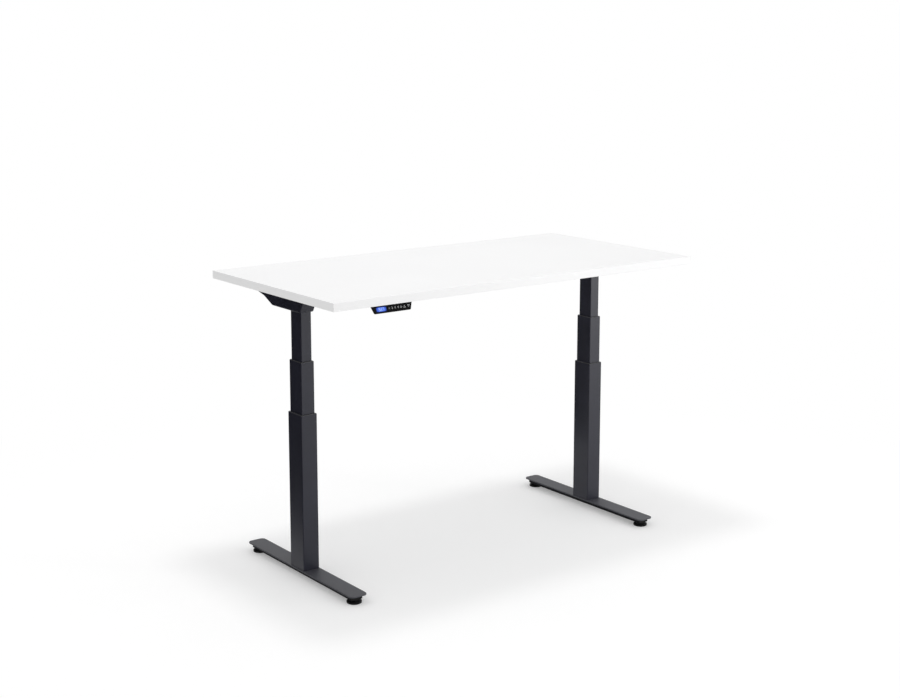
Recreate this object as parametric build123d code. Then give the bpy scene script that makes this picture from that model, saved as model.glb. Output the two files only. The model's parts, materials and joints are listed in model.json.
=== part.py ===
from build123d import *
import os
from math import acos, atan2, cos, pi, radians, sin, tan

os.makedirs("parts", exist_ok=True)

# Height adjustable standing desk, in millimetres, +Z up. The user sits on the -Y side.
# The origin is on the floor, under the middle of the desk's box.
# A leg is drawn once about its own axis, with +X pointing in under the desk.

# Desktop board and its edging
TOP_LENGTH = 1400.0
TOP_DEPTH = 700.0
TOP_THICK = 25.0
BAND_THICK = 2.0
BAND_ROUND = 0.8

# Travel and the heights that follow from it
STROKE = 650.0          # desktop travel, shared equally by the two moving stages
REST_LIFT = 297.0       # this pose above the lowest setting
LOW_SHOWING = 12.0      # middle tube left showing at the lowest setting
ARM_GAP = 3.0           # arm above the middle tube's collar at the lowest setting
END_CLEAR = 6.0         # a stage's underside above what it comes down to
SPARE = 5.0             # screw or drive rod still past its nut or socket at full height

# Feet and levelling glides
FOOT_LENGTH = 614.0
FOOT_WIDTH = 60.0
FOOT_CORNER = 15.0
FOOT_THICK = 4.0
FOOT_EDGE = 1.0
CHANNEL_WIDTH = 38.0
CHANNEL_HEIGHT = 13.5
CHANNEL_SHEET = 2.5
CHANNEL_INSET = 15.0    # from the plate's end to the channel's end
PLUG_FACE = 2.0         # thickness of the cap over the channel's end
PLUG_LENGTH = 30.0
GLIDE_INSET = 31.0      # from the plate's end to the glide's axis
GLIDE_RADIUS = 23.0
GLIDE_WAIST = 19.0      # radius at the top of the glide's pad
GLIDE_PAD = 9.0         # height of the pad
GLIDE_HEX = 30.0        # across the flats of the adjusting collar
GLIDE_COLLAR = 3.5
STUD_RADIUS = 4.0
STUD_SPARE = 0.5        # from the stud's end to the plate above it

# Telescopic tubes
LEG_INSET = 117.0       # from the desktop's end to the middle of a leg
LEG_BACK = 17.0         # leg axis behind the middle of the desktop
OUTER_WIDE = 56.0
OUTER_DEEP = 77.0
OUTER_LENGTH = 490.0
TUBE_WALL = 2.0
TUBE_CORNER = 2.5
STAGE_GAP = 2.75        # between one tube and the next
GUIDE_LENGTH = 40.0
GUIDE_LIP = 2.0
LIP_INSET = 0.6         # collar's lip inside the outline of its tube
SHOE = 6.0              # thickness of the guide shoe under a tube
SLIDE = 0.3             # clearance of a sliding face
FIT = 0.1               # clearance of a fixed piece in its seat
RUN = 0.05              # radial clearance of a turning shaft

# Screw drive inside the leg
HEX_ACROSS = 8.0        # drive rod, across its flats
ROD_CLEAR = 0.65
SCREW_WALL = 1.75       # wall of the standing screw
SPINDLE_CLEAR = 0.75
SPINDLE_WALL = 2.25
SPINDLE_SHOULDER = 4.0  # the shoulder's radius past the spindle's
SHOULDER_THICK = 3.0
SOCKET_LENGTH = 15.0    # hexagon socket at the spindle's top
INSERT_LENGTH = 20.0    # nut thread at the spindle's foot
THREAD_FIT = 0.15
BEARING_RING = 6.0
BEARING_THICK = 7.0
PLUG_DEPTH = 14.0       # bearing plug inside the middle tube
NUT_DEPTH = 24.0        # nut inside the inner tube
BASE_BLOCK = 15.0
SCREW_SEAT = 5.0

# Bolts through the foot into the base block
BOLT_RADIUS = 3.0
BOLT_HEAD_RADIUS = 5.0
BOLT_HEAD = 6.0
BOLT_GRIP = 12.0        # thread inside the base block
BOLT_X = 10.0
BOLT_Y = 24.0
BOLT_HOLE = 0.3         # radial clearance of a bolt in a plain hole

# Side arm, motor and worm gear
ARM_DEPTH = 66.0
ARM_TIP = 16.0
ARM_FRONT = 268.0
ARM_REAR = 290.0
ARM_SHEET = 2.5
ARM_SIDE = 6.5          # arm's side walls outside the inner tube
FRONT_RAMP = 16.0
FRONT_SHOULDER = 36.0   # depth where the front ramp meets the tapered end
REAR_RAMP = 49.0
REAR_SHOULDER = 43.0
ARM_BEND = 6.0          # radius of the bends along the arm's underside
ARM_EDGE = 4.0          # radius of the pressed lower edges
EAR_LENGTH = 34.0
EAR_REACH = 18.0
EAR_INSET = 34.0        # from the arm's end to the middle of an ear
HEAD_PLATE = 5.0
HEAD_MARGIN = 44.0      # head plate behind the inner tube
HEAD_BOLT_EDGE = 8.0    # bolt from the tube, and from the plate's rear edge
GEARBOX_WALL = 5.0
GEARBOX_ROUND = 4.0
GEARBOX_BOLT = 2.0      # radius of the bolts through the gearbox
GEARBOX_BOLT_INSET = 5.0
WHEEL_TEETH = 22
WHEEL_MODULE = 1.25
PRESSURE_ANGLE = 20.0
WHEEL_THICK = 10.0
WHEEL_ROOM = 0.7
HUB_RADIUS = 9.0
WORM_PITCH_RADIUS = 5.5
WORM_JOURNAL = 3.0
WORM_BODY = 28.0        # length of the threaded part
JOURNAL_LENGTH = 8.0
MESH_CLEAR = 0.3
MOTOR_RADIUS = 22.0
MOTOR_LENGTH = 98.0
MOTOR_CLEAR = 1.5
MOTOR_BOSS = 13.0
MOTOR_END = 7.0

# Rails between the arms
RAIL_DEEP = 24.0
RAIL_HIGH = 28.0
RAIL_WALL = 2.0
RAIL_OVERLAP = 300.0
RAIL_PLATE = 3.0
RAIL_PLATE_DEEP = 52.0
RAIL_BOLT_Y = 18.0
FRONT_RAIL = 64.0       # in front of the leg axis
REAR_RAIL = 166.0       # behind the leg axis

# Control box
BOX_LENGTH = 250.0
BOX_DEEP = 104.0
BOX_HIGH = 36.0
BOX_ROUND = 5.0
BOX_EAR = 16.0
SOCKET_WIDE = 15.0
SOCKET_HIGH = 9.0
SOCKET_DEEP = 8.0
INLET_WIDE = 24.0
INLET_HIGH = 18.0
SOCKET_PITCH = 28.0

# Handset under the front edge
HANDSET_INSET = 196.0   # from the desktop's left end to the middle of the handset
HANDSET_TOP = 146.0     # width under the desktop, before its edges are rounded
HANDSET_BOTTOM = 128.5  # width along the lower edge
HANDSET_HIGH = 22.0     # before its lower edge is rounded
HANDSET_PROUD = 7.0     # lower edge in front of the desktop, before it is rounded
HANDSET_SETBACK = 1.0   # upper edge behind the desktop's front
HANDSET_BACK = 16.0     # from the desktop's front to the handset's back
HANDSET_BACK_HIGH = 14.0
HANDSET_TUCK = 0.75     # how far an end runs in for each millimetre back
HANDSET_CORNER = 5.0    # radius of the face's lower corners
HANDSET_ROUND = 1.5
WINDOW_INSET = 35.5     # from the handset's left end to the middle of the window
WINDOW_WIDE = 37.5
WINDOW_HIGH = 15.0
WINDOW_THICK = 2.0
KEY_INSET = 61.8        # from the handset's left end to the first key
KEY_PITCH = 10.3
KEY_WIDE = 8.4
KEY_HIGH = 11.0
ARROW_INSET = 115.0     # from the handset's left end to the up key
ARROW_PITCH = 14.0
ARROW_WIDE = 11.5
KEY_DEPTH = 3.0
KEY_PROUD = 1.0
KEY_TRAVEL = 0.8
KEY_GAP = 0.3
KEY_ROUND = 1.5

# Wood screws into the desktop
WOOD_RADIUS = 2.25
WOOD_HEAD_RADIUS = 4.5
WOOD_HEAD = 3.0
WOOD_BITE = 16.0        # length inside the desktop
EAR_THICK = 2.5         # what the screws clamp

# Heights at rest, from the floor up
glide_height = GLIDE_PAD + GLIDE_COLLAR
plate_under = glide_height + CHANNEL_HEIGHT
foot_top = plate_under + FOOT_THICK
outer_top = foot_top + OUTER_LENGTH
block_top = foot_top + BASE_BLOCK
stage_rest = REST_LIFT / 2
stage_stroke = STROKE / 2
middle_foot = block_top + END_CLEAR + stage_rest
middle_top = outer_top + GUIDE_LIP + LOW_SHOWING + stage_rest
shoulder_top = middle_foot + SHOE + PLUG_DEPTH + SHOULDER_THICK
inner_foot = shoulder_top + END_CLEAR + stage_rest
arm_bottom = middle_top + GUIDE_LIP + ARM_GAP + stage_rest
underside = arm_bottom + ARM_DEPTH
desk_top = underside + TOP_THICK

# Handset face, and how far its rounded lower edge stands out
face_drop = HANDSET_PROUD + HANDSET_SETBACK
face_up = Vector(0, face_drop, HANDSET_HIGH).normalized()
under_back = Vector(0, HANDSET_PROUD + HANDSET_BACK, HANDSET_HIGH - HANDSET_BACK_HIGH).normalized()
edge_half = acos(face_up.dot(under_back)) / 2
edge_flat = HANDSET_ROUND / tan(edge_half)
edge_middle = (face_up + under_back).normalized() * (HANDSET_ROUND / sin(edge_half))
handset_front = HANDSET_PROUD - edge_middle.Y + HANDSET_ROUND

# Places in plan
desk_y = handset_front / 2
leg_y = desk_y + LEG_BACK
front_edge = desk_y - TOP_DEPTH / 2
handset_x = HANDSET_INSET - TOP_LENGTH / 2
leg_spacing = TOP_LENGTH - 2 * LEG_INSET

# Tube sections, each inside the one below it
stage_step = 2 * (TUBE_WALL + STAGE_GAP)
middle_wide = OUTER_WIDE - stage_step
middle_deep = OUTER_DEEP - stage_step
inner_wide = middle_wide - stage_step
inner_deep = middle_deep - stage_step

# Screw drive radii, each round the one inside it
rod_radius = HEX_ACROSS / 2 / cos(radians(30))
screw_bore = rod_radius + ROD_CLEAR
screw_radius = screw_bore + SCREW_WALL
spindle_bore = screw_radius + SPINDLE_CLEAR
spindle_radius = spindle_bore + SPINDLE_WALL
bearing_radius = spindle_radius + BEARING_RING

# Lengths of the drive, so that each is still engaged at full height
screw_top = middle_foot - stage_rest + stage_stroke + INSERT_LENGTH + SPARE
nut_top = inner_foot + SHOE + NUT_DEPTH
spindle_top = nut_top - stage_rest + stage_stroke + SPARE
socket_foot = spindle_top - SOCKET_LENGTH
rod_foot = socket_foot - (stage_stroke - stage_rest) - SPARE

# Worm gear and motor, measured from the leg axis
gear_centres = WHEEL_TEETH * WHEEL_MODULE / 2 + WORM_PITCH_RADIUS
wheel_tip = WHEEL_TEETH * WHEEL_MODULE / 2 + WHEEL_MODULE
wheel_root = wheel_tip - 2.25 * WHEEL_MODULE
gap_pitch = pi * WHEEL_MODULE / 2
gap_tip = gap_pitch + 2 * WHEEL_MODULE * tan(radians(PRESSURE_ANGLE))
gap_root = gap_pitch - 2.5 * WHEEL_MODULE * tan(radians(PRESSURE_ANGLE))
worm_radius = gear_centres - wheel_tip - MESH_CLEAR
head_top = arm_bottom + ARM_SHEET + HEAD_PLATE
gear_z = head_top + MOTOR_CLEAR + MOTOR_RADIUS
gearbox_front = wheel_tip + WHEEL_ROOM + JOURNAL_LENGTH
gearbox_high = gear_z + WHEEL_THICK / 2 + WHEEL_ROOM + GEARBOX_WALL - head_top
gearbox_out = wheel_tip + WHEEL_ROOM + GEARBOX_WALL
gearbox_in = gear_centres + WORM_PITCH_RADIUS + 2 * GEARBOX_BOLT_INSET
arm_half = inner_wide / 2 + ARM_SIDE
ramp_turn = atan2(ARM_DEPTH - FRONT_SHOULDER, FRONT_RAMP)
flat_front = inner_deep / 2 + 2 * SLIDE + ARM_BEND * tan(ramp_turn / 2)
flat_rear = gearbox_front + MOTOR_LENGTH + MOTOR_END
rail_z = underside - RAIL_HIGH / 2

SIDES = (("left", -1), ("right", 1))


def save(name, *solids):
    shape = solids[0] if len(solids) == 1 else Compound(children=list(solids))
    export_step(shape, f"parts/{name}.step")


def on_leg(shape, side):
    """A leg piece at its place on one side of the desk, mirrored on the right."""
    if side > 0:
        shape = mirror(shape, about=Plane.YZ)
    return Pos(side * leg_spacing / 2, leg_y, 0) * shape


def bar(wide, deep, corner, low, high):
    """Upright bar about the leg axis, with rounded corners, between two heights."""
    outline = RectangleRounded(wide, deep, corner) if corner > 0 else Rectangle(wide, deep)
    return Pos(0, 0, low) * extrude(outline, high - low)


def disc(radius, low, high, x=0.0, y=0.0):
    return Pos(x, y, low) * extrude(Circle(radius), high - low)


def across(radius, start, end, x, z):
    """Round bar along Y."""
    return Pos(x, start, z) * Rot(-90, 0, 0) * extrude(Circle(radius), end - start)


def hexagon(across_flats, low, high):
    outline = RegularPolygon(across_flats / 2 / cos(radians(30)), 6)
    return Pos(0, 0, low) * extrude(outline, high - low)


def tube(wide, deep, low, high):
    """Rolled rectangular tube with its wall inside the outline."""
    outside = bar(wide, deep, TUBE_CORNER, low, high)
    inside = bar(wide - 2 * TUBE_WALL, deep - 2 * TUBE_WALL, TUBE_CORNER - TUBE_WALL, low, high)
    return outside - inside


# Feet


def bolt_places():
    return [(x, y) for x in (-BOLT_X, BOLT_X) for y in (-BOLT_Y, BOLT_Y)]


def foot_plate():
    plate = bar(FOOT_WIDTH, FOOT_LENGTH, FOOT_CORNER, plate_under, foot_top)
    plate = fillet(plate.faces().sort_by(Axis.Z)[-1].edges(), FOOT_EDGE)
    for x, y in bolt_places():
        plate -= disc(BOLT_RADIUS + BOLT_HOLE, plate_under, foot_top, x, y)
    return plate


def glide_places():
    reach = FOOT_LENGTH / 2 - GLIDE_INSET
    return (("front", -reach), ("rear", reach))


def foot_channel():
    """Folded stiffener under the plate, open downwards."""
    half = FOOT_LENGTH / 2 - CHANNEL_INSET - PLUG_FACE
    section = Rectangle(CHANNEL_WIDTH, CHANNEL_HEIGHT)
    section = fillet(section.vertices().group_by(Axis.Y)[-1], CHANNEL_SHEET)
    hollow = Rectangle(CHANNEL_WIDTH - 2 * CHANNEL_SHEET, CHANNEL_HEIGHT)
    section -= Pos(0, -CHANNEL_SHEET) * hollow
    middle = glide_height + CHANNEL_HEIGHT / 2
    channel = Pos(0, half, middle) * Rot(90, 0, 0) * extrude(section, 2 * half)
    for x, y in bolt_places():
        channel -= disc(BOLT_RADIUS + BOLT_HOLE, glide_height, plate_under, x, y)
    for _, y in glide_places():
        channel -= disc(STUD_RADIUS + BOLT_HOLE, glide_height, plate_under, 0, y)
    return channel


def foot_plug(end):
    """Plug that closes one end of the channel and holds the glide's stud."""
    tip = FOOT_LENGTH / 2 - CHANNEL_INSET
    web = plate_under - CHANNEL_SHEET
    body_wide = CHANNEL_WIDTH - 2 * CHANNEL_SHEET - 2 * FIT
    body = Pos(0, tip - PLUG_FACE - PLUG_LENGTH / 2, (glide_height + web) / 2)
    plug = body * Box(body_wide, PLUG_LENGTH, web - glide_height)
    face = Pos(0, tip - PLUG_FACE / 2, (glide_height + plate_under) / 2)
    plug += face * Box(CHANNEL_WIDTH, PLUG_FACE, CHANNEL_HEIGHT)
    plug = fillet(plug.edges().filter_by(Axis.Z).group_by(Axis.Y)[-1], PLUG_FACE / 2)
    plug -= disc(STUD_RADIUS + RUN, glide_height, web, 0, FOOT_LENGTH / 2 - GLIDE_INSET)
    return plug if end > 0 else Rot(0, 0, 180) * plug


def glide(y):
    """Levelling glide: round pad, hexagon collar and threaded stud."""
    chamfer_top = GLIDE_RADIUS - GLIDE_WAIST
    pad = disc(GLIDE_RADIUS, 0, GLIDE_PAD)
    pad = chamfer(pad.edges().sort_by(Axis.Z)[-1], chamfer_top * 0.75, chamfer_top)
    pad = chamfer(pad.edges().sort_by(Axis.Z)[0], FOOT_EDGE)
    pad += hexagon(GLIDE_HEX, GLIDE_PAD, glide_height)
    pad += disc(STUD_RADIUS, glide_height, plate_under - STUD_SPARE)
    return Pos(0, y, 0) * pad


def base_block():
    """Steel block in the foot of the outer tube, tapped for the foot bolts."""
    wide = OUTER_WIDE - 2 * TUBE_WALL - 2 * FIT
    deep = OUTER_DEEP - 2 * TUBE_WALL - 2 * FIT
    block = bar(wide, deep, TUBE_CORNER - TUBE_WALL, foot_top, block_top)
    for x, y in bolt_places():
        block -= disc(BOLT_RADIUS + RUN, foot_top, foot_top + BOLT_GRIP + FIT, x, y)
    return block - disc(screw_radius + RUN, block_top - SCREW_SEAT, block_top)


def foot_bolt(x, y):
    seat = plate_under - CHANNEL_SHEET
    bolt = disc(BOLT_RADIUS, seat, foot_top + BOLT_GRIP, x, y)
    bolt += disc(BOLT_HEAD_RADIUS, seat - BOLT_HEAD, seat, x, y)
    return bolt - Pos(x, y, 0) * hexagon(BOLT_HEAD_RADIUS, seat - BOLT_HEAD, seat - BOLT_HEAD / 2)


# Telescopic tubes, collars and shoes


def collar(outer_wide, outer_deep, top):
    """Guide collar in the mouth of a tube: a sleeve round the next tube, with a lip."""
    wide = outer_wide - 2 * TUBE_WALL
    deep = outer_deep - 2 * TUBE_WALL
    corner = TUBE_CORNER - TUBE_WALL
    sleeve = bar(wide - 2 * FIT, deep - 2 * FIT, corner, top - GUIDE_LENGTH, top)
    lip_wide = outer_wide - 2 * LIP_INSET
    lip_deep = outer_deep - 2 * LIP_INSET
    lip = bar(lip_wide, lip_deep, TUBE_CORNER - LIP_INSET, top, top + GUIDE_LIP)
    lip = chamfer(lip.faces().sort_by(Axis.Z)[-1].edges(), GUIDE_LIP / 3)
    hole_wide = wide - 2 * STAGE_GAP + 2 * SLIDE
    hole_deep = deep - 2 * STAGE_GAP + 2 * SLIDE
    return sleeve + lip - bar(hole_wide, hole_deep, TUBE_CORNER, top - GUIDE_LENGTH, top + GUIDE_LIP)


def end_plug(around_wide, around_deep, low, depth):
    """Moulded plug in a tube's foot, with a shoe below it that guides in the tube around."""
    shoe_wide = around_wide - 2 * TUBE_WALL - 2 * SLIDE
    shoe_deep = around_deep - 2 * TUBE_WALL - 2 * SLIDE
    plug = bar(shoe_wide, shoe_deep, TUBE_CORNER, low, low + SHOE)
    plug = chamfer(plug.faces().sort_by(Axis.Z)[0].edges(), SHOE / 6)
    wide = around_wide - stage_step - 2 * TUBE_WALL - 2 * FIT
    deep = around_deep - stage_step - 2 * TUBE_WALL - 2 * FIT
    corner = TUBE_CORNER - TUBE_WALL
    return plug + bar(wide, deep, corner, low + SHOE, low + SHOE + depth)


def bearing_plug():
    plug = end_plug(OUTER_WIDE, OUTER_DEEP, middle_foot, PLUG_DEPTH)
    top = middle_foot + SHOE + PLUG_DEPTH
    plug -= disc(spindle_radius + SLIDE, middle_foot, top)
    return plug - disc(bearing_radius + RUN, top - BEARING_THICK, top)


def bearing():
    top = middle_foot + SHOE + PLUG_DEPTH
    ring = disc(bearing_radius, top - BEARING_THICK, top)
    return ring - disc(spindle_radius + RUN, top - BEARING_THICK, top)


def spindle_nut():
    nut = end_plug(middle_wide, middle_deep, inner_foot, NUT_DEPTH)
    return nut - disc(spindle_radius + THREAD_FIT, inner_foot, nut_top)


def head_bolt_places():
    """Bolts that hold the head plate on the arm's floor, behind the tube."""
    tube_back = inner_deep / 2
    rows = (tube_back + HEAD_BOLT_EDGE, tube_back + HEAD_MARGIN - HEAD_BOLT_EDGE)
    return [(x, y) for x in (-BOLT_X, BOLT_X) for y in rows]


def inner_tube():
    """Top stage, with the head plate that carries the gearbox welded across it."""
    head_z = arm_bottom + ARM_SHEET
    stage = tube(inner_wide, inner_deep, inner_foot + SHOE, head_z)
    half = arm_half - ARM_SHEET - MOTOR_CLEAR
    front = (inner_deep - TUBE_WALL) / 2
    rear = inner_deep / 2 + HEAD_MARGIN
    plate = bar(2 * half, front + rear, GEARBOX_ROUND, head_z, head_top)
    plate = Pos(0, (rear - front) / 2, 0) * plate
    plate -= disc(HUB_RADIUS + MESH_CLEAR, head_z, head_top)
    for x, y in head_bolt_places():
        plate -= disc(BOLT_RADIUS + RUN, head_z, head_top, x, y)
    for x, y in gearbox_bolt_places():
        plate -= disc(GEARBOX_BOLT + RUN, head_z, head_top, x, y)
    return stage + plate


def head_bolt(x, y):
    """Flat-headed bolt, flush under the arm's floor."""
    head = Cone(BOLT_HEAD_RADIUS, BOLT_RADIUS, ARM_SHEET, align=(Align.CENTER, Align.CENTER, Align.MIN))
    return Pos(x, y, arm_bottom) * head + disc(BOLT_RADIUS, arm_bottom + ARM_SHEET, head_top, x, y)


def head_bolt_seat(x, y):
    """Countersink in the arm's floor."""
    seat = Cone(
        BOLT_HEAD_RADIUS + FIT, BOLT_RADIUS + FIT, ARM_SHEET, align=(Align.CENTER, Align.CENTER, Align.MIN)
    )
    return Pos(x, y, arm_bottom) * seat


# Screw drive


def standing_screw():
    """Hollow screw that stands on the base block."""
    low = block_top - SCREW_SEAT
    return disc(screw_radius, low, screw_top) - disc(screw_bore, low, screw_top)


def spindle():
    """Hollow spindle: nut thread at its foot, hexagon socket at its top."""
    low = middle_foot + FIT
    body = disc(spindle_radius, low, spindle_top)
    body += disc(spindle_radius + SPINDLE_SHOULDER, shoulder_top - SHOULDER_THICK, shoulder_top)
    body -= disc(screw_radius + THREAD_FIT, low, low + INSERT_LENGTH)
    body -= disc(spindle_bore, low + INSERT_LENGTH, socket_foot)
    return body - hexagon(HEX_ACROSS + 2 * FIT, socket_foot, spindle_top)


def drive_rod():
    return hexagon(HEX_ACROSS, rod_foot, gear_z + WHEEL_THICK / 2)


def worm_wheel():
    """Toothed wheel with a hub that runs in the gearbox floor."""
    low = gear_z - WHEEL_THICK / 2
    wheel = disc(wheel_tip, low, low + WHEEL_THICK)
    gap = Polygon(
        (wheel_root, -gap_root / 2),
        (wheel_tip + FIT, -gap_tip / 2),
        (wheel_tip + FIT, gap_tip / 2),
        (wheel_root, gap_root / 2),
        align=None,
    )
    slot = Pos(0, 0, low) * extrude(gap, WHEEL_THICK)
    for tooth in range(WHEEL_TEETH):
        wheel -= Rot(0, 0, 360 / WHEEL_TEETH * tooth) * slot
    wheel += disc(HUB_RADIUS, head_top, low)
    return wheel - hexagon(HEX_ACROSS + 2 * FIT, head_top, low + WHEEL_THICK)


def worm():
    """Worm shaft along Y, from the gearbox front into the motor."""
    half = WORM_BODY / 2
    shaft = across(worm_radius, -half, half, gear_centres, gear_z)
    shaft += across(WORM_JOURNAL, -half - JOURNAL_LENGTH, -half, gear_centres, gear_z)
    return shaft + across(WORM_JOURNAL, half, gearbox_front + JOURNAL_LENGTH, gear_centres, gear_z)


def gearbox_bolt_places():
    left = -gearbox_out + GEARBOX_BOLT_INSET
    right = gear_centres - WORM_PITCH_RADIUS - GEARBOX_BOLT_INSET
    reach = gearbox_front - GEARBOX_BOLT_INSET
    return [(x, y) for x in (left, right) for y in (-reach, reach)]


def gearbox_bolt(x, y):
    """Long bolt through the gearbox into the head plate."""
    top = head_top + gearbox_high
    bolt = disc(GEARBOX_BOLT, head_top - HEAD_PLATE, top, x, y)
    return bolt + disc(2 * GEARBOX_BOLT, top, top + 2 * GEARBOX_BOLT, x, y)


def gearbox():
    """Die-cast housing, closed round the worm and its wheel."""
    wide = gearbox_in + gearbox_out
    case = bar(wide, 2 * gearbox_front, GEARBOX_ROUND, head_top, head_top + gearbox_high)
    case = Pos((gearbox_in - gearbox_out) / 2, 0, 0) * case
    low = gear_z - WHEEL_THICK / 2
    case -= disc(wheel_tip + WHEEL_ROOM, low - WHEEL_ROOM, low + WHEEL_THICK + WHEEL_ROOM)
    case -= disc(HUB_RADIUS + RUN, head_top, low)
    half = WORM_BODY / 2
    case -= across(WORM_PITCH_RADIUS, -half - FIT, half + FIT, gear_centres, gear_z)
    start = -half - JOURNAL_LENGTH - FIT
    case -= across(WORM_JOURNAL + RUN, start, gearbox_front, gear_centres, gear_z)
    for x, y in gearbox_bolt_places():
        case -= disc(GEARBOX_BOLT + FIT, head_top, head_top + gearbox_high, x, y)
    return case


def motor():
    """Geared motor can with its boss on the gearbox and a stepped end bell."""
    start = gearbox_front
    end = start + MOTOR_LENGTH
    can = across(MOTOR_RADIUS, start + MOTOR_END, end - MOTOR_END, gear_centres, gear_z)
    can += across(MOTOR_BOSS, start, end, gear_centres, gear_z)
    rims = can.edges().filter_by(GeomType.CIRCLE).filter_by(lambda e: abs(e.radius - MOTOR_RADIUS) < FIT)
    can = chamfer(rims, MOTOR_CLEAR)
    return can - across(WORM_JOURNAL + RUN, start, start + JOURNAL_LENGTH + FIT, gear_centres, gear_z)


# Top frame


def arm_outline():
    """Side view of the arm, as (Y, Z) from the leg axis and the desktop's underside."""
    return [
        (-ARM_FRONT, 0),
        (-ARM_FRONT, -ARM_TIP),
        (-flat_front - FRONT_RAMP, -FRONT_SHOULDER),
        (-flat_front, -ARM_DEPTH),
        (flat_rear, -ARM_DEPTH),
        (flat_rear + REAR_RAMP, -REAR_SHOULDER),
        (ARM_REAR, -ARM_TIP),
        (ARM_REAR, 0),
    ]


def ear_places():
    rows = (-ARM_FRONT + EAR_INSET, ARM_REAR - EAR_INSET)
    reach = arm_half + EAR_REACH / 2
    return [(x, y) for x in (-reach, reach) for y in rows]


def arm_notch():
    """Gap in the arm's inner wall, where the gearbox and the motor stand through it."""
    front = gearbox_front + MOTOR_CLEAR
    rear = gearbox_front + MOTOR_LENGTH + MOTOR_CLEAR
    high = ARM_DEPTH - ARM_SHEET
    place = Pos(arm_half, (rear - front) / 2, underside - high / 2)
    return place * Box(2 * ARM_EDGE, front + rear, high)


def arm():
    """Pressed side arm: a tray that hangs under the desktop, with fixing ears."""
    outline = Polygon(*arm_outline(), align=None)
    bends = outline.vertices().filter_by(lambda v: v.Y < -FIT)
    outline = fillet(bends, ARM_BEND)
    body = extrude(Plane.YZ * outline, 2 * arm_half)
    body = Pos(-arm_half, 0, underside) * body
    lower = body.edges().filter_by(lambda e: e.center().Z < underside - FIT)
    rims = [e for e in lower if abs(e.bounding_box().size.X) < FIT]
    body = fillet(rims, ARM_EDGE)
    tray = offset(body, -ARM_SHEET, openings=body.faces().sort_by(Axis.Z)[-1])
    tray -= arm_notch()
    tray -= bar(
        inner_wide + 2 * SLIDE, inner_deep + 2 * SLIDE, TUBE_CORNER, arm_bottom, arm_bottom + ARM_SHEET
    )
    for x, y in head_bolt_places():
        tray -= head_bolt_seat(x, y)
    for x, y in ear_places():
        root = ARM_SHEET / 2 if x < 0 else -ARM_SHEET / 2
        ear = Pos(x + root, y, underside - EAR_THICK / 2) * Box(EAR_REACH + ARM_SHEET, EAR_LENGTH, EAR_THICK)
        outer = ear.edges().filter_by(Axis.Z).sort_by(Axis.X)
        tray += fillet(outer[:2] if x < 0 else outer[2:], EAR_REACH / 3)
        tray -= disc(WOOD_RADIUS + BOLT_HOLE, underside - EAR_THICK, underside, x, y)
    for y in (-FRONT_RAIL, REAR_RAIL):
        for step in (-RAIL_BOLT_Y, RAIL_BOLT_Y):
            hole = Pos(arm_half - ARM_SHEET, y + step, rail_z) * Rot(0, 90, 0)
            tray -= hole * extrude(Circle(BOLT_RADIUS + BOLT_HOLE), ARM_SHEET)
    return tray


def rail(y, start, end, deep, high, plate_side):
    """Rectangular tube between the arms, with a bolting plate welded to its outer end."""
    middle = Pos(start, leg_y + y, rail_z) * Rot(0, 90, 0)
    section = RectangleRounded(high, deep, RAIL_WALL) - Rectangle(high - 2 * RAIL_WALL, deep - 2 * RAIL_WALL)
    beam = middle * extrude(section, end - start)
    plate_x = start + RAIL_PLATE / 2 if plate_side < 0 else end - RAIL_PLATE / 2
    plate = Pos(plate_x, leg_y + y, rail_z) * Box(RAIL_PLATE, RAIL_PLATE_DEEP, RAIL_HIGH)
    plate = fillet(plate.edges().filter_by(Axis.X), RAIL_PLATE)
    beam += plate
    for step in (-RAIL_BOLT_Y, RAIL_BOLT_Y):
        hole = Pos(plate_x - RAIL_PLATE / 2, leg_y + y + step, rail_z) * Rot(0, 90, 0)
        beam -= hole * extrude(Circle(BOLT_RADIUS + RUN), RAIL_PLATE)
    return beam


def rail_bolt(y):
    """Bolt through the arm's inner wall into a rail's plate."""
    seat = arm_half - ARM_SHEET
    place = Pos(seat, y, rail_z) * Rot(0, 90, 0)
    bolt = place * extrude(Circle(BOLT_RADIUS), ARM_SHEET + RAIL_PLATE)
    head = Pos(seat - BOLT_HEAD, y, rail_z) * Rot(0, 90, 0)
    bolt += head * extrude(Circle(BOLT_HEAD_RADIUS), BOLT_HEAD)
    return bolt - head * extrude(RegularPolygon(BOLT_RADIUS, 6), BOLT_HEAD / 2)


def box_ear_places():
    y = leg_y + (REAR_RAIL - FRONT_RAIL) / 2
    x = BOX_LENGTH / 2 + BOX_EAR / 2
    step = BOX_DEEP / 2 - BOX_EAR
    return [(side * x, y + way * step) for side in (-1, 1) for way in (-1, 1)]


def control_box():
    """Control box under the desktop, with sockets in its rear face."""
    y = leg_y + (REAR_RAIL - FRONT_RAIL) / 2
    case = Pos(0, y, underside - BOX_HIGH) * extrude(RectangleRounded(BOX_LENGTH, BOX_DEEP, BOX_ROUND), BOX_HIGH)
    case = fillet(case.faces().sort_by(Axis.Z)[0].edges(), BOX_ROUND / 2)
    for x, ear_y in box_ear_places():
        root = BOX_EAR / 2 if x < 0 else -BOX_EAR / 2
        case += Pos(x + root, ear_y, underside - EAR_THICK / 2) * Box(2 * BOX_EAR, BOX_EAR, EAR_THICK)
        case -= disc(WOOD_RADIUS + BOLT_HOLE, underside - EAR_THICK, underside, x, ear_y)
    rear = y + BOX_DEEP / 2 - SOCKET_DEEP / 2
    middle = underside - BOX_HIGH / 2
    for place in (-2, -1, 0):
        x = place * SOCKET_PITCH
        case -= Pos(x, rear, middle) * Box(SOCKET_WIDE, SOCKET_DEEP, SOCKET_HIGH)
    return case - Pos(1.5 * SOCKET_PITCH, rear, middle) * Box(INLET_WIDE, SOCKET_DEEP, INLET_HIGH)


# Handset

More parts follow.
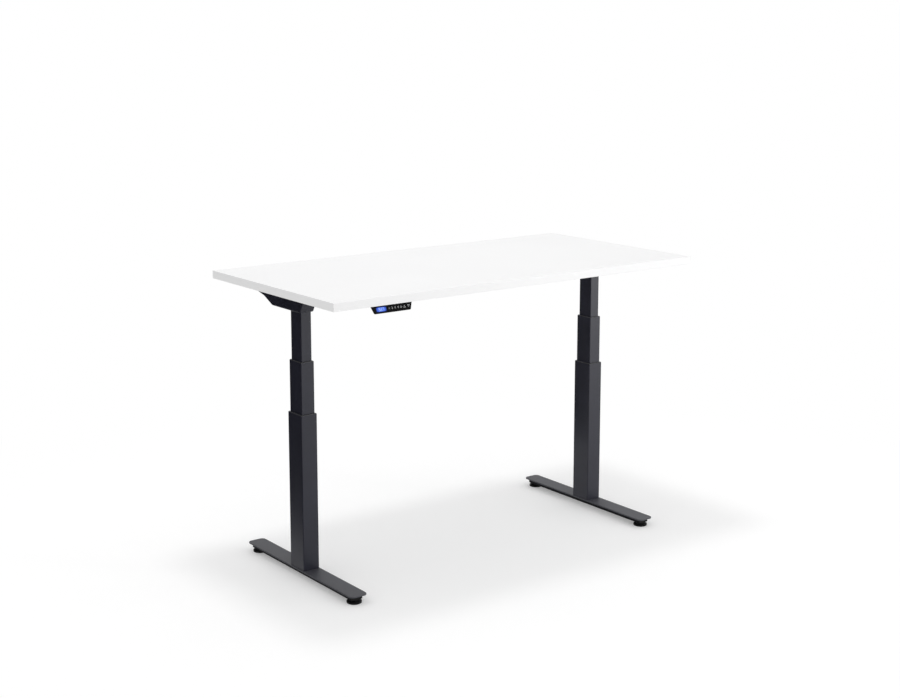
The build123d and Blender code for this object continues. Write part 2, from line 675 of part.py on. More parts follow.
edge_corner = Vector(handset_x, front_edge - HANDSET_PROUD, underside - HANDSET_HIGH)
face_length = Vector(0, face_drop, HANDSET_HIGH).length
face_middle = edge_corner + face_up * ((face_length + edge_flat) / 2)
face_plane = Plane(origin=face_middle, x_dir=(1, 0, 0), z_dir=(0, -face_up.Z, face_up.Y))


def from_end(inset):
    """Place along the face, from the middle of the handset."""
    return inset - HANDSET_TOP / 2


def key_places():
    """Name, middle and width of each key along the face."""
    names = ("key_1", "key_2", "key_3", "key_4", "key_memory")
    keys = [(name, from_end(KEY_INSET + n * KEY_PITCH), KEY_WIDE) for n, name in enumerate(names)]
    keys.append(("key_up", from_end(ARROW_INSET), ARROW_WIDE))
    keys.append(("key_down", from_end(ARROW_INSET + ARROW_PITCH), ARROW_WIDE))
    return keys


def handset_screw_places():
    y = front_edge + HANDSET_BACK + BOX_EAR / 2
    return [(handset_x + side * HANDSET_BOTTOM / 3, y) for side in (-1, 1)]


def runs_back(edge):
    """Whether an edge runs from front to back more than across or upright."""
    way = edge @ 1 - edge @ 0
    return abs(way.Y) > max(abs(way.X), abs(way.Z))


def handset_housing():
    """Keypad housing under the front edge, its face leaning back and its ends tucked in behind it."""
    front = front_edge + HANDSET_SETBACK
    back = front_edge + HANDSET_BACK
    side_view = Polygon(
        (front, underside),
        (front - face_drop, underside - HANDSET_HIGH),
        (back, underside - HANDSET_BACK_HIGH),
        (back, underside),
        align=None,
    )
    body = Pos(handset_x - HANDSET_TOP / 2, 0, 0) * extrude(Plane.YZ * side_view, HANDSET_TOP)
    slope = (HANDSET_TOP - HANDSET_BOTTOM) / 2
    for side in (-1, 1):
        down = Vector(-side * slope, -face_drop, -HANDSET_HIGH)
        inward = down.cross(Vector(-side * HANDSET_TUCK, 1, 0)) * -side
        end = Plane(origin=(handset_x + side * HANDSET_TOP / 2, front, underside), z_dir=inward)
        body = split(body, bisect_by=end, keep=Keep.TOP)
    corners = body.edges().filter_by(runs_back).filter_by(lambda e: e.center().Z < underside - FIT)
    body = fillet(corners, HANDSET_CORNER)
    face = body.faces().sort_by(Axis.Y)[0]
    rims = face.edges().filter_by(lambda e: e.center().Z < underside - FIT)
    body = fillet(rims, HANDSET_ROUND)
    for x, y in handset_screw_places():
        lug = Pos(x, y - BOX_EAR / 4, underside - EAR_THICK / 2)
        body += lug * Box(BOX_EAR, 1.5 * BOX_EAR, EAR_THICK)
        body -= disc(WOOD_RADIUS + BOLT_HOLE, underside - EAR_THICK, underside, x, y)
    body -= face_plane * (Pos(from_end(WINDOW_INSET), 0, -WINDOW_THICK) * window_blank(0))
    pocket = KEY_DEPTH - KEY_PROUD + KEY_TRAVEL + FIT
    for _, x, wide in key_places():
        hole = RectangleRounded(wide + 2 * KEY_GAP, KEY_HIGH + 2 * KEY_GAP, KEY_ROUND)
        body -= face_plane * (Pos(x, 0, -pocket) * extrude(hole, pocket))
    return body


def window_blank(inset):
    outline = RectangleRounded(WINDOW_WIDE - 2 * inset, WINDOW_HIGH - 2 * inset, KEY_ROUND)
    return extrude(outline, WINDOW_THICK)


def handset_window():
    return face_plane * (Pos(from_end(WINDOW_INSET), 0, -WINDOW_THICK) * window_blank(FIT))


def key(x, wide):
    cap = extrude(RectangleRounded(wide, KEY_HIGH, KEY_ROUND), KEY_DEPTH)
    cap = fillet(cap.faces().sort_by(Axis.Z)[-1].edges(), KEY_PROUD / 2)
    return face_plane * (Pos(x, 0, KEY_PROUD - KEY_DEPTH) * cap)


# Desktop


def screw_places():
    """Every wood screw: eight through the arms' ears, four for the box, two for the handset."""
    places = [
        (side * (leg_spacing / 2 - x), leg_y + y) for _, side in SIDES for x, y in ear_places()
    ]
    return places + box_ear_places() + handset_screw_places()


def desktop():
    board = Pos(0, desk_y, underside + TOP_THICK / 2) * Box(
        TOP_LENGTH - 2 * BAND_THICK, TOP_DEPTH - 2 * BAND_THICK, TOP_THICK
    )
    for x, y in screw_places():
        board -= disc(WOOD_RADIUS + RUN, underside, underside + WOOD_BITE + FIT, x, y)
    return board


def wood_screw(x, y):
    seat = underside - EAR_THICK
    screw = disc(WOOD_RADIUS, seat, underside + WOOD_BITE, x, y)
    head = disc(WOOD_HEAD_RADIUS, seat - WOOD_HEAD, seat, x, y)
    return screw + chamfer(head.edges().sort_by(Axis.Z)[0], WOOD_HEAD / 2)


def edge_band():
    """Four strips of edging, the long pair running the full length."""
    strips = []
    for side in (-1, 1):
        y = desk_y + side * (TOP_DEPTH - BAND_THICK) / 2
        strip = Pos(0, y, underside + TOP_THICK / 2) * Box(TOP_LENGTH, BAND_THICK, TOP_THICK)
        outer = strip.faces().sort_by(Axis.Y)[-1 if side > 0 else 0]
        strips.append(fillet(outer.edges(), BAND_ROUND))
        x = side * (TOP_LENGTH - BAND_THICK) / 2
        deep = TOP_DEPTH - 2 * BAND_THICK
        strip = Pos(x, desk_y, underside + TOP_THICK / 2) * Box(BAND_THICK, deep, TOP_THICK)
        outer = strip.faces().sort_by(Axis.X)[-1 if side > 0 else 0]
        strips.append(fillet(outer.edges().filter_by(Axis.Y), BAND_ROUND))
    return strips


for name, side in SIDES:
    save(f"{name}_foot_plate", on_leg(foot_plate(), side))
    save(f"{name}_foot_channel", on_leg(foot_channel(), side))
    for end, y in glide_places():
        save(f"{name}_{end}_glide", on_leg(glide(y), side))
    save(f"{name}_outer_tube", on_leg(tube(OUTER_WIDE, OUTER_DEEP, foot_top, outer_top), side))
    save(f"{name}_middle_tube", on_leg(tube(middle_wide, middle_deep, middle_foot + SHOE, middle_top), side))
    save(f"{name}_middle_collar", on_leg(collar(middle_wide, middle_deep, middle_top), side))
    save(f"{name}_bearing_plug", on_leg(bearing_plug(), side))
    save(f"{name}_spindle_bearing", on_leg(bearing(), side))
    save(f"{name}_spindle", on_leg(spindle(), side))
    save(f"{name}_inner_tube", on_leg(inner_tube(), side))
    save(f"{name}_spindle_nut", on_leg(spindle_nut(), side))
    save(f"{name}_drive_rod", on_leg(drive_rod(), side))
    save(f"{name}_worm_wheel", on_leg(worm_wheel(), side))
    save(f"{name}_worm", on_leg(worm(), side))
    save(f"{name}_gearbox", on_leg(gearbox(), side))
    save(f"{name}_motor", on_leg(motor(), side))
    save(f"{name}_arm", on_leg(arm(), side))

save("outer_collars", *[on_leg(collar(OUTER_WIDE, OUTER_DEEP, outer_top), side) for _, side in SIDES])
save("base_blocks", *[on_leg(base_block(), side) for _, side in SIDES])
save("standing_screws", *[on_leg(standing_screw(), side) for _, side in SIDES])
save("foot_plugs", *[on_leg(foot_plug(end), side) for _, side in SIDES for end in (-1, 1)])
save("foot_bolts", *[on_leg(foot_bolt(x, y), side) for _, side in SIDES for x, y in bolt_places()])

rail_reach = leg_spacing / 2 - arm_half
inner_rail_deep = RAIL_DEEP - 2 * RAIL_WALL - 2 * SLIDE
inner_rail_high = RAIL_HIGH - 2 * RAIL_WALL - 2 * SLIDE
for name, y in (("front", -FRONT_RAIL), ("rear", REAR_RAIL)):
    save(f"{name}_rail_left", rail(y, -rail_reach, RAIL_OVERLAP / 2, RAIL_DEEP, RAIL_HIGH, -1))
    save(f"{name}_rail_right", rail(y, -RAIL_OVERLAP / 2, rail_reach, inner_rail_deep, inner_rail_high, 1))
rail_rows = [y + step for y in (-FRONT_RAIL, REAR_RAIL) for step in (-RAIL_BOLT_Y, RAIL_BOLT_Y)]
save("rail_bolts", *[on_leg(rail_bolt(y), side) for _, side in SIDES for y in rail_rows])
column_bolts = [head_bolt(x, y) for x, y in head_bolt_places()]
column_bolts += [gearbox_bolt(x, y) for x, y in gearbox_bolt_places()]
save("column_bolts", *[on_leg(bolt, side) for _, side in SIDES for bolt in column_bolts])

save("control_box", control_box())
save("handset_housing", handset_housing())
save("handset_window", handset_window())
for name, x, wide in key_places():
    save(name, key(x, wide))
save("desktop", desktop())
save("edge_band", *edge_band())
save("desk_screws", *[wood_screw(x, y) for x, y in screw_places()])
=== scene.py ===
import json
import math
import bpy
from mathutils import Matrix, Vector


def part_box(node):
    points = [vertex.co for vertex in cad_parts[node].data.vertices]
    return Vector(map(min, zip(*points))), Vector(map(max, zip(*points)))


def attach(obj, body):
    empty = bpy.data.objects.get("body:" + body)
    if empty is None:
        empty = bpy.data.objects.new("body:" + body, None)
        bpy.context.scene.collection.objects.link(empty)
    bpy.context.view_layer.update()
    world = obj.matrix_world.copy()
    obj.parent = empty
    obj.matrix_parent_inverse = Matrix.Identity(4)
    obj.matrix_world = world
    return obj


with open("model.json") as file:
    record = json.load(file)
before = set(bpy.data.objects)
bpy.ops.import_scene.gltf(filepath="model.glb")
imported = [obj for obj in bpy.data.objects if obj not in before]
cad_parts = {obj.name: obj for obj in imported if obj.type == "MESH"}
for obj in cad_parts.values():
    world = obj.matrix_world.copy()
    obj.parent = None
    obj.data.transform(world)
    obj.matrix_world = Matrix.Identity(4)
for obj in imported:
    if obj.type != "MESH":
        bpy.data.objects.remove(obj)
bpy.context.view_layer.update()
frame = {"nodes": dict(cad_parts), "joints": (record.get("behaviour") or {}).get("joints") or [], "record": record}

mm = 0.001

# camera, light and floor, in metres and degrees
photoView = {
    "place": (-2.9414, -3.8678, 1.7113), "turn": 36.914, "tilt": 9.682,
    "lens": 61.19, "sensor": 36, "shiftY": -0.08,
}
studioLight = {
    "room": 0.85,  # soft light from all round
    "backdrop": 1.0,  # what the camera sees past the floor
    "aim": (0.0, 0.0, 0.55),  # where both panels point
}
panelLooks = {
    "keyPanel": {"place": (3.15, -3.8, 0.46), "size": 0.9, "power": 50.0},
    "topPanel": {"place": (-0.2, 0.15, 4.2), "size": 0.7, "power": 26.0},
}
floorLook = {
    "size": 60.0, "bounce": 0.8,  # bounce is the tone that lights the desk from below
    "shade": 0.83, "glow": 0.207,  # near the desk, where its shadow shows
    "farGlow": 1.0, "fadeStart": 1.1, "fadeEnd": 2.2,
}
cardLooks = {
    "darkCard": {"place": (-0.80, 1.3, 1.0), "high": 2.0, "long": 4.0, "tone": 0.01},
    "innerCard": {"place": (0.36, 0.33, 0.50), "high": 0.68, "long": 0.30, "tone": 0.01},
}


def grey(tone):
    return (tone, tone, tone, 1)


def aimAt(place, target):
    return (Vector(target) - Vector(place)).to_track_quat("-Z", "Y").to_euler()


def addCamera(look):
    bpy.ops.object.camera_add(location=look["place"])
    camera = bpy.context.object
    camera.rotation_euler = (math.radians(90 - look["tilt"]), 0, math.radians(-look["turn"]))
    camera.data.lens = look["lens"]
    camera.data.sensor_width = look["sensor"]
    camera.data.shift_y = look["shiftY"]
    camera.data.dof.use_dof = False
    bpy.context.scene.camera = camera


def addPanelLight(name, look, target):
    turn = aimAt(look["place"], target)
    bpy.ops.object.light_add(type="AREA", location=look["place"], rotation=turn)
    lamp = bpy.context.object
    lamp.name = name
    lamp.data.shape = "DISK"
    lamp.data.size = look["size"]
    lamp.data.energy = look["power"]
    lamp.visible_camera = False


def seenDirectly(tree):
    # 1 for rays from the camera, from a mirror or through glass
    path = tree.nodes.new("ShaderNodeLightPath")
    first = tree.nodes.new("ShaderNodeMath")
    first.operation = "MAXIMUM"
    second = tree.nodes.new("ShaderNodeMath")
    second.operation = "MAXIMUM"
    tree.links.new(path.outputs["Is Camera Ray"], first.inputs[0])
    tree.links.new(path.outputs["Is Glossy Ray"], first.inputs[1])
    tree.links.new(first.outputs[0], second.inputs[0])
    tree.links.new(path.outputs["Is Transmission Ray"], second.inputs[1])
    return second.outputs[0]


def addRoom(look):
    world = bpy.data.worlds.new("studioRoom")
    bpy.context.scene.world = world
    world.use_nodes = True
    tree = world.node_tree
    tree.nodes.clear()
    soft = tree.nodes.new("ShaderNodeBackground")
    soft.inputs["Color"].default_value = grey(1)
    soft.inputs["Strength"].default_value = look["room"]
    white = tree.nodes.new("ShaderNodeBackground")
    white.inputs["Color"].default_value = grey(1)
    white.inputs["Strength"].default_value = look["backdrop"]
    mix = tree.nodes.new("ShaderNodeMixShader")
    out = tree.nodes.new("ShaderNodeOutputWorld")
    tree.links.new(seenDirectly(tree), mix.inputs[0])
    tree.links.new(soft.outputs[0], mix.inputs[1])
    tree.links.new(white.outputs[0], mix.inputs[2])
    tree.links.new(mix.outputs[0], out.inputs["Surface"])


def awayFromDesk(tree, start, end):
    # 0 on the floor round the desk, 1 further off
    where = tree.nodes.new("ShaderNodeTexCoord")
    length = tree.nodes.new("ShaderNodeVectorMath")
    length.operation = "LENGTH"
    fade = tree.nodes.new("ShaderNodeMapRange")
    fade.interpolation_type = "SMOOTHSTEP"
    fade.inputs["From Min"].default_value = start
    fade.inputs["From Max"].default_value = end
    tree.links.new(where.outputs["Object"], length.inputs[0])
    tree.links.new(length.outputs["Value"], fade.inputs["Value"])
    return fade.outputs["Result"]


def addFloor(look):
    bpy.ops.mesh.primitive_plane_add(size=look["size"])
    floor = bpy.context.object
    floor.name = "paleFloor"
    material = bpy.data.materials.new("paleFloor")
    material.use_nodes = True
    tree = material.node_tree
    tree.nodes.clear()
    bounce = tree.nodes.new("ShaderNodeBsdfDiffuse")
    bounce.inputs["Color"].default_value = grey(look["bounce"])
    shade = tree.nodes.new("ShaderNodeBsdfDiffuse")
    shade.inputs["Color"].default_value = grey(look["shade"])
    glow = tree.nodes.new("ShaderNodeEmission")
    glow.inputs["Strength"].default_value = look["glow"]
    near = tree.nodes.new("ShaderNodeAddShader")
    far = tree.nodes.new("ShaderNodeEmission")
    far.inputs["Strength"].default_value = look["farGlow"]
    seen = tree.nodes.new("ShaderNodeMixShader")
    mix = tree.nodes.new("ShaderNodeMixShader")
    out = tree.nodes.new("ShaderNodeOutputMaterial")
    away = awayFromDesk(tree, look["fadeStart"], look["fadeEnd"])
    tree.links.new(shade.outputs[0], near.inputs[0])
    tree.links.new(glow.outputs[0], near.inputs[1])
    tree.links.new(away, seen.inputs[0])
    tree.links.new(near.outputs[0], seen.inputs[1])
    tree.links.new(far.outputs[0], seen.inputs[2])
    tree.links.new(seenDirectly(tree), mix.inputs[0])
    tree.links.new(bounce.outputs[0], mix.inputs[1])
    tree.links.new(seen.outputs[0], mix.inputs[2])
    tree.links.new(mix.outputs[0], out.inputs["Surface"])
    floor.data.materials.append(material)


def addDarkCard(name, look):
    # a dark card beside a leg, seen only in the gloss of what faces it
    upright = (0, math.radians(90), 0)
    bpy.ops.mesh.primitive_plane_add(size=1, location=look["place"], rotation=upright)
    card = bpy.context.object
    card.name = name
    card.scale = (look["high"], look["long"], 1)
    material = bpy.data.materials.new(name)
    material.use_nodes = True
    shader = material.node_tree.nodes["Principled BSDF"]
    shader.inputs["Base Color"].default_value = grey(look["tone"])
    shader.inputs["Specular IOR Level"].default_value = 0
    card.data.materials.append(material)
    card.visible_camera = False
    card.visible_diffuse = False
    card.visible_shadow = False
    card.visible_transmission = False


bpy.context.scene.view_settings.view_transform = "Standard"
addCamera(photoView)
addRoom(studioLight)
for name, look in panelLooks.items():
    addPanelLight(name, look, studioLight["aim"])
addFloor(floorLook)
for name, look in cardLooks.items():
    addDarkCard(name, look)
print("camera, light and floor are set")

# middle is where a pattern mostly lies, of its 0 to 1
grainLook = {"fineDetail": 3, "cloudDetail": 4, "middle": (0.3, 0.7)}


def grainGroup(look):
    # fine grain for bump and gloss, and slow clouding for tone
    group = bpy.data.node_groups.new("surfaceGrain", "ShaderNodeTree")
    addSocket = group.interface.new_socket
    for name in ("Fine Scale", "Cloud Scale"):
        addSocket(name=name, in_out="INPUT", socket_type="NodeSocketFloat")
    stretch = addSocket(name="Stretch", in_out="INPUT", socket_type="NodeSocketVector")
    stretch.default_value = (1, 1, 1)
    for name in ("Fine", "Cloud"):
        addSocket(name=name, in_out="OUTPUT", socket_type="NodeSocketFloat")
    given = group.nodes.new("NodeGroupInput")
    gives = group.nodes.new("NodeGroupOutput")
    where = group.nodes.new("ShaderNodeTexCoord")
    pull = group.nodes.new("ShaderNodeVectorMath")
    pull.operation = "MULTIPLY"
    group.links.new(where.outputs["Object"], pull.inputs[0])
    group.links.new(given.outputs["Stretch"], pull.inputs[1])
    fine = group.nodes.new("ShaderNodeTexNoise")
    fine.inputs["Detail"].default_value = look["fineDetail"]
    cloud = group.nodes.new("ShaderNodeTexNoise")
    cloud.inputs["Detail"].default_value = look["cloudDetail"]
    group.links.new(pull.outputs[0], fine.inputs["Vector"])
    group.links.new(given.outputs["Fine Scale"], fine.inputs["Scale"])
    group.links.new(where.outputs["Object"], cloud.inputs["Vector"])
    group.links.new(given.outputs["Cloud Scale"], cloud.inputs["Scale"])
    group.links.new(fine.outputs["Fac"], gives.inputs["Fine"])
    group.links.new(cloud.outputs["Fac"], gives.inputs["Cloud"])
    return group


surfaceGrain = grainGroup(grainLook)


def addGrain(tree, look):
    grain = tree.nodes.new("ShaderNodeGroup")
    grain.node_tree = surfaceGrain
    grain.inputs["Fine Scale"].default_value = look["grain"]
    grain.inputs["Cloud Scale"].default_value = look["cloud"]
    return grain


def spread(tree, source, low, high):
    # turns a pattern, which mostly stays near the middle, into a range of values
    fit = tree.nodes.new("ShaderNodeMapRange")
    fit.inputs["From Min"].default_value = grainLook["middle"][0]
    fit.inputs["From Max"].default_value = grainLook["middle"][1]
    fit.inputs["To Min"].default_value = low
    fit.inputs["To Max"].default_value = high
    tree.links.new(source, fit.inputs["Value"])
    return fit.outputs["Result"]


def mixTones(tree, tones, pattern):
    # of the mix node's sockets, 6 and 7 take the two colours and 2 gives the result
    tone = tree.nodes.new("ShaderNodeMix")
    tone.data_type = "RGBA"
    tone.inputs[6].default_value = (*tones[0], 1)
    tone.inputs[7].default_value = (*tones[1], 1)
    tree.links.new(spread(tree, pattern, 0, 1), tone.inputs[0])
    return tone.outputs[2]


# tones are linear, rough is its least and most, grain and cloud are in patterns per metre,
# and what a finish doesn't give is taken from plainFinish
plainFinish = {"metal": 0.0, "specular": 0.5, "ior": 1.5, "stretch": (1, 1, 1)}
finishLooks = {
    "powderCoat": {
        "tones": ((0.0132, 0.0136, 0.0232), (0.0158, 0.0163, 0.0280)), "rough": (0.35, 0.43),
        "specular": 1.0, "ior": 1.27,
        "grain": 1100, "cloud": 14, "bump": 0.16, "depth": 0.25 * mm,
    },
    # the frame's powder coat made lighter for the foot plates: painted sheen, standing in for the grazing light
    # their tops catch
    "footPaintedSheenCoat": {
        "tones": ((0.053, 0.054, 0.065), (0.060, 0.061, 0.073)), "rough": (0.50, 0.60),
        "grain": 1100, "cloud": 14, "bump": 0.16, "depth": 0.25 * mm,
    },
    # the frame's powder coat made darker for the channels under the foot plates: painted shade
    "channelPaintedShadeCoat": {
        "tones": ((0.0040, 0.0042, 0.0060), (0.0055, 0.0058, 0.0080)), "rough": (0.5, 0.62),
        "ior": 1.2,
        "grain": 1100, "cloud": 14, "bump": 0.16, "depth": 0.25 * mm,
    },
    "collarPlastic": {
        "tones": ((0.05, 0.05, 0.053), (0.06, 0.06, 0.064)), "rough": (0.42, 0.5),
        "specular": 0.4,
        "grain": 900, "cloud": 20, "bump": 0.06, "depth": 0.2 * mm,
    },
    "nutPlastic": {
        "tones": ((0.70, 0.69, 0.64), (0.76, 0.75, 0.71)), "rough": (0.35, 0.45),
        "grain": 500, "cloud": 25, "bump": 0.05, "depth": 0.2 * mm,
    },
    "glidePlastic": {
        "tones": ((0.0035, 0.0035, 0.004), (0.0055, 0.0055, 0.006)), "rough": (0.42, 0.55),
        "specular": 0.15,
        "grain": 1500, "cloud": 40, "bump": 0.1, "depth": 0.2 * mm,
    },
    "boxPlastic": {
        "tones": ((0.012, 0.012, 0.013), (0.017, 0.017, 0.018)), "rough": (0.5, 0.62),
        "specular": 0.3,
        "grain": 1800, "cloud": 25, "bump": 0.3, "depth": 0.3 * mm,
    },
    "handsetPlastic": {
        "tones": ((0.0022, 0.0022, 0.0026), (0.0036, 0.0036, 0.0040)), "rough": (0.34, 0.44),
        "specular": 0.07,
        "grain": 2200, "cloud": 40, "bump": 0.08, "depth": 0.2 * mm,
    },
    "keyPlastic": {
        "tones": ((0.0030, 0.0030, 0.0034), (0.0045, 0.0045, 0.0050)), "rough": (0.40, 0.48),
        "specular": 0.09,
        "grain": 2400, "cloud": 60, "bump": 0.06, "depth": 0.2 * mm,
    },
    "brightSteel": {
        "tones": ((0.50, 0.50, 0.52), (0.58, 0.58, 0.60)), "rough": (0.22, 0.36),
        "metal": 1.0, "stretch": (1, 1, 0.04),  # drawn along its length
        "grain": 900, "cloud": 30, "bump": 0.05, "depth": 0.1 * mm,
    },
    "zincSteel": {
        "tones": ((0.36, 0.36, 0.37), (0.46, 0.46, 0.47)), "rough": (0.28, 0.42),
        "metal": 1.0,
        "grain": 700, "cloud": 60, "bump": 0.05, "depth": 0.1 * mm,
    },
    "castAlloy": {
        "tones": ((0.42, 0.42, 0.44), (0.52, 0.52, 0.54)), "rough": (0.45, 0.6),
        "metal": 1.0,
        "grain": 800, "cloud": 35, "bump": 0.25, "depth": 0.3 * mm,
    },
    "wheelBronze": {
        "tones": ((0.52, 0.34, 0.15), (0.62, 0.43, 0.21)), "rough": (0.25, 0.38),
        "metal": 1.0,
        "grain": 900, "cloud": 40, "bump": 0.05, "depth": 0.1 * mm,
    },
    "whiteMelamine": {
        "tones": ((0.852, 0.852, 0.855), (0.868, 0.868, 0.870)), "rough": (0.34, 0.44),
        "specular": 0.3,
        "grain": 750, "cloud": 3, "bump": 0.05, "depth": 0.2 * mm,
    },
    "whiteEdging": {
        "tones": ((0.895, 0.895, 0.897), (0.910, 0.910, 0.912)), "rough": (0.38, 0.46),
        "specular": 0.3,
        "grain": 600, "cloud": 6, "bump": 0.04, "depth": 0.2 * mm,
    },
    "printedMark": {
        "tones": ((0.50, 0.50, 0.51), (0.58, 0.58, 0.59)), "rough": (0.45, 0.55),
        "specular": 0.3,
        "grain": 3000, "cloud": 90, "bump": 0.03, "depth": 0.1 * mm,
    },
}
slotFinish = {
    "frame_coat": "powderCoat", "collar_plastic": "collarPlastic", "nut_plastic": "nutPlastic",
    "glide_plastic": "glidePlastic", "box_plastic": "boxPlastic",
    "handset_plastic": "handsetPlastic", "key_plastic": "keyPlastic",
    "bright_steel": "brightSteel", "bolt_steel": "zincSteel", "motor_steel": "zincSteel",
    "gearbox_alloy": "castAlloy", "wheel_bronze": "wheelBronze",
    "white_board": "whiteMelamine", "white_edging": "whiteEdging", "display_window": "litDisplay",
}
# the foot plates and channels wear the frame's own coat; here they get copies of it with painted light: lighter on
# the plates for painted sheen on their tops, darker on the channels for painted shade under the plates
paintedLightFinishByEnding = {"_channel": "channelPaintedShadeCoat", "_plate": "footPaintedSheenCoat"}


def makeFinish(name, given):
    look = {**plainFinish, **given}
    material = bpy.data.materials.new(name)
    material.use_nodes = True
    tree = material.node_tree
    shader = tree.nodes["Principled BSDF"]
    grain = addGrain(tree, look)
    grain.inputs["Stretch"].default_value = look["stretch"]
    tone = mixTones(tree, look["tones"], grain.outputs["Cloud"])
    rough = spread(tree, grain.outputs["Fine"], *look["rough"])
    tree.links.new(tone, shader.inputs["Base Color"])
    tree.links.new(rough, shader.inputs["Roughness"])
    bump = tree.nodes.new("ShaderNodeBump")
    bump.inputs["Strength"].default_value = look["bump"]
    bump.inputs["Distance"].default_value = look["depth"]
    tree.links.new(grain.outputs["Fine"], bump.inputs["Height"])
    tree.links.new(bump.outputs["Normal"], shader.inputs["Normal"])
    shader.inputs["Metallic"].default_value = look["metal"]
    shader.inputs["Specular IOR Level"].default_value = look["specular"]
    shader.inputs["IOR"].default_value = look["ior"]
    return material


finishes = {name: makeFinish(name, look) for name, look in finishLooks.items()}
print("finishes are made")

# the handset's sloped face carries the display and the marks
acrossFace = Vector((1, 0, 0))
keyPush = Vector(next(j["axis"] for j in frame["joints"] if j["name"] == "key_up_press"))
faceOut = -keyPush.normalized()
faceUp = faceOut.cross(acrossFace).normalized()
if faceUp.z < 0:
    faceUp = -faceUp


def faceFrame(point):
    # axes of the sloped face, with its origin at a point
    turn = Matrix((acrossFace, faceUp, faceOut)).transposed().to_4x4()
    return Matrix.Translation(point) @ turn


def topOf(node):
    # middle of a node's outer face, measured along the face's direction
    points = [v.co for v in frame["nodes"][node].data.vertices]
    middle = sum(points, Vector()) / len(points)
    low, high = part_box(node)
    middle.x = (low.x + high.x) / 2
    along = [p.dot(faceUp) for p in points]
    out = max(p.dot(faceOut) for p in points)
    middle += faceUp * ((min(along) + max(along)) / 2 - middle.dot(faceUp))
    return middle + faceOut * (out - middle.dot(faceOut))


displayLook = {
    "middle": (0.11, 0.23, 0.88), "wide": (0.045, 0.12, 0.66), "edge": (0.001, 0.004, 0.045),
    "stops": (0.05, 0.7, 1.0),  # where the three tones lie, from the middle outwards
    "half": (17.6 * mm, 7.0 * mm), "glow": 1.0,
    "glass": (0.004, 0.006, 0.02), "rough": 0.16, "specular": 0.12,
}


def makeDisplay(look):
    material = bpy.data.materials.new("litDisplay")
    material.use_nodes = True
    tree = material.node_tree
    shader = tree.nodes["Principled BSDF"]
    where = tree.nodes.new("ShaderNodeTexCoord")
    local = faceFrame(topOf("handset_window")).inverted()
    mapping = tree.nodes.new("ShaderNodeMapping")
    mapping.vector_type = "POINT"
    mapping.inputs["Location"].default_value = local.translation
    mapping.inputs["Rotation"].default_value = local.to_euler()
    tree.links.new(where.outputs["Object"], mapping.inputs["Vector"])
    halfWide, halfTall = look["half"]
    scale = tree.nodes.new("ShaderNodeVectorMath")
    scale.operation = "MULTIPLY"
    scale.inputs[1].default_value = (1 / halfWide, 1 / halfTall, 0)
    tree.links.new(mapping.outputs["Vector"], scale.inputs[0])
    # squared first, so that the lit field has square shoulders
    square = tree.nodes.new("ShaderNodeVectorMath")
    square.operation = "MULTIPLY"
    tree.links.new(scale.outputs[0], square.inputs[0])
    tree.links.new(scale.outputs[0], square.inputs[1])
    length = tree.nodes.new("ShaderNodeVectorMath")
    length.operation = "LENGTH"
    tree.links.new(square.outputs[0], length.inputs[0])
    ramp = tree.nodes.new("ShaderNodeValToRGB")
    ramp.color_ramp.interpolation = "EASE"
    first, last = ramp.color_ramp.elements
    first.position = look["stops"][0]
    first.color = (*look["middle"], 1)
    last.position = look["stops"][2]
    last.color = (*look["edge"], 1)
    between = ramp.color_ramp.elements.new(look["stops"][1])
    between.color = (*look["wide"], 1)
    tree.links.new(length.outputs["Value"], ramp.inputs["Fac"])
    tree.links.new(ramp.outputs["Color"], shader.inputs["Emission Color"])
    shader.inputs["Emission Strength"].default_value = look["glow"]
    shader.inputs["Base Color"].default_value = (*look["glass"], 1)
    shader.inputs["Roughness"].default_value = look["rough"]
    shader.inputs["Specular IOR Level"].default_value = look["specular"]
    return material


finishes["litDisplay"] = makeDisplay(displayLook)
nodeSlot = {s["node"]: s["material_slot"] for s in frame["record"]["subparts"]}
for node, thing in frame["nodes"].items():
    finish = slotFinish[nodeSlot[node]]
    for ending, other in paintedLightFinishByEnding.items():
        if node.endswith(ending):
            finish = other
    for place in thing.material_slots:
        place.material = finishes[finish]
print("finishes are on the desk's pieces")

# marks on the keys: plain numbers, a ring to store a height, and two arrows
markLook = {
    "tall": 6.0 * mm, "tallShare": 0.7,  # a number's height, also as a share of the font's size
    "curveSteps": 4, "thick": 0.07 * mm, "sink": 0.01 * mm,
    "ring": 2.8 * mm, "ringLine": 0.75 * mm, "ringSides": 32,
    "arrow": 4.5 * mm, "arrowLine": 0.9 * mm,
}
weldGap = 0.001 * mm


def startPiece():
    bpy.ops.object.select_all(action="DESELECT")


def copyPiece(piece):
    twin = piece.copy()
    twin.data = piece.data.copy()
    bpy.context.collection.objects.link(twin)
    return twin


def raiseFlat(thick):
    # gives a flat outline its thickness
    bpy.ops.mesh.select_all(action="SELECT")
    bpy.ops.mesh.extrude_region_move(TRANSFORM_OT_translate={"value": (0, 0, thick)})
    bpy.ops.mesh.select_all(action="SELECT")
    bpy.ops.mesh.remove_doubles(threshold=weldGap)
    bpy.ops.mesh.normals_make_consistent(inside=False)


def outlineMark(sides, radius, line, drop, look):
    # a ring or an arrow, drawn as an outline
    startPiece()
    bpy.ops.mesh.primitive_circle_add(
        vertices=sides, radius=radius, fill_type="NGON", location=(0, -drop, 0))
    bpy.ops.object.transform_apply(location=True, rotation=False, scale=False)
    bpy.ops.object.mode_set(mode="EDIT")
    bpy.ops.mesh.select_mode(type="FACE")
    bpy.ops.mesh.select_all(action="SELECT")
    bpy.ops.mesh.inset(thickness=line, depth=0)
    bpy.ops.mesh.delete(type="FACE")
    raiseFlat(look["thick"])
    bpy.ops.object.mode_set(mode="OBJECT")
    return bpy.context.object


def ringMark(look):
    return outlineMark(look["ringSides"], look["ring"], look["ringLine"], 0, look)


def arrowMark(look):
    drop = look["arrow"] / 4  # puts the triangle's middle on the key's
    return outlineMark(3, look["arrow"], look["arrowLine"], drop, look)


